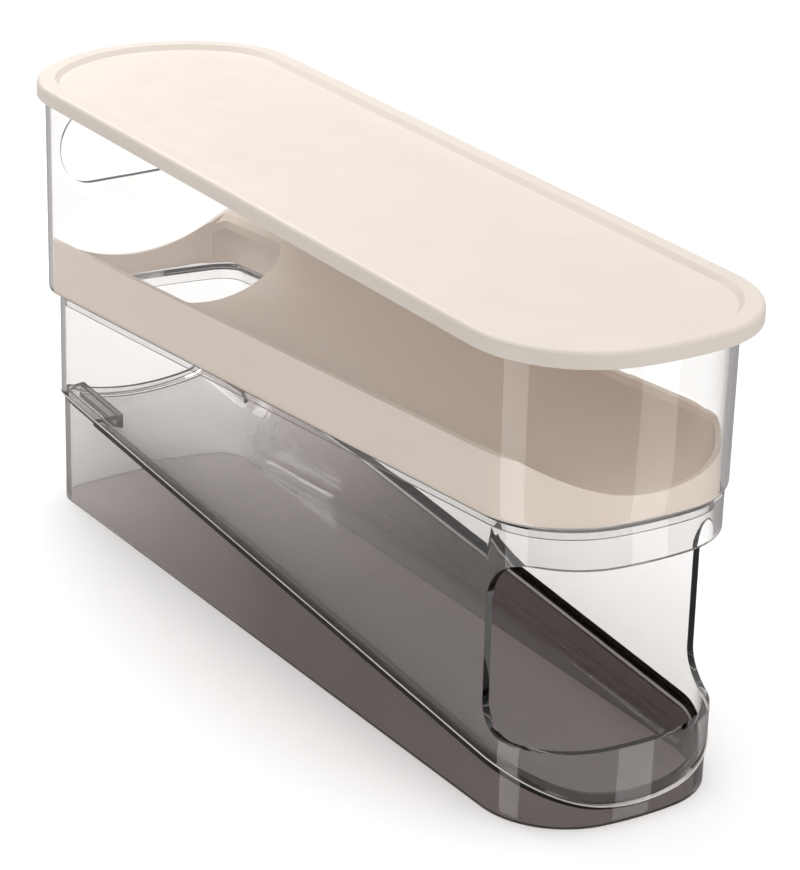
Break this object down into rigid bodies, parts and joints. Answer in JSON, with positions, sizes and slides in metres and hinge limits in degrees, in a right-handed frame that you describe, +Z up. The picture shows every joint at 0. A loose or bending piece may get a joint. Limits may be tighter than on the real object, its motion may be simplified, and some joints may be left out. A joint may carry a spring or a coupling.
{
  "type": "two-tier rolling egg keeper with flip lid",
  "caption": "Long two-tier egg keeper: flip lid, clear upper and lower walls, sloped slide, trough base with open pick-up cup at the front end.",
  "frame": {"origin": "centre of the keeper's bounding box on the table plane", "axes": "+Z up; -Y towards the pick-up cup; X across the keeper, along an egg lying in it"},
  "size_m": [0.095, 0.335, 0.1543],
  "materials": {
    "smoke_plastic": "smoke-tinted clear, polished",
    "clear_plastic": "clear, polished",
    "cream_plastic": "satin gloss",
    "lid_plastic": "satin",
    "pin_steel": "drawn wire"
  },
  "bodies": {
    "keeper": {"base": "smoke_plastic", "lower_housing": "clear_plastic", "upper_housing": "clear_plastic", "slide": "cream_plastic", "hinge_pin": "pin_steel"},
    "flip_lid": {"lid": "lid_plastic"}
  },
  "joints": [
    {"name": "lid_hinge", "type": "hinge", "parent": "keeper", "child": "flip_lid", "pos_m": [0, 0.158, 0.1453], "axis": [-1, 0, 0], "range_deg": [0, 105]}
  ]
}
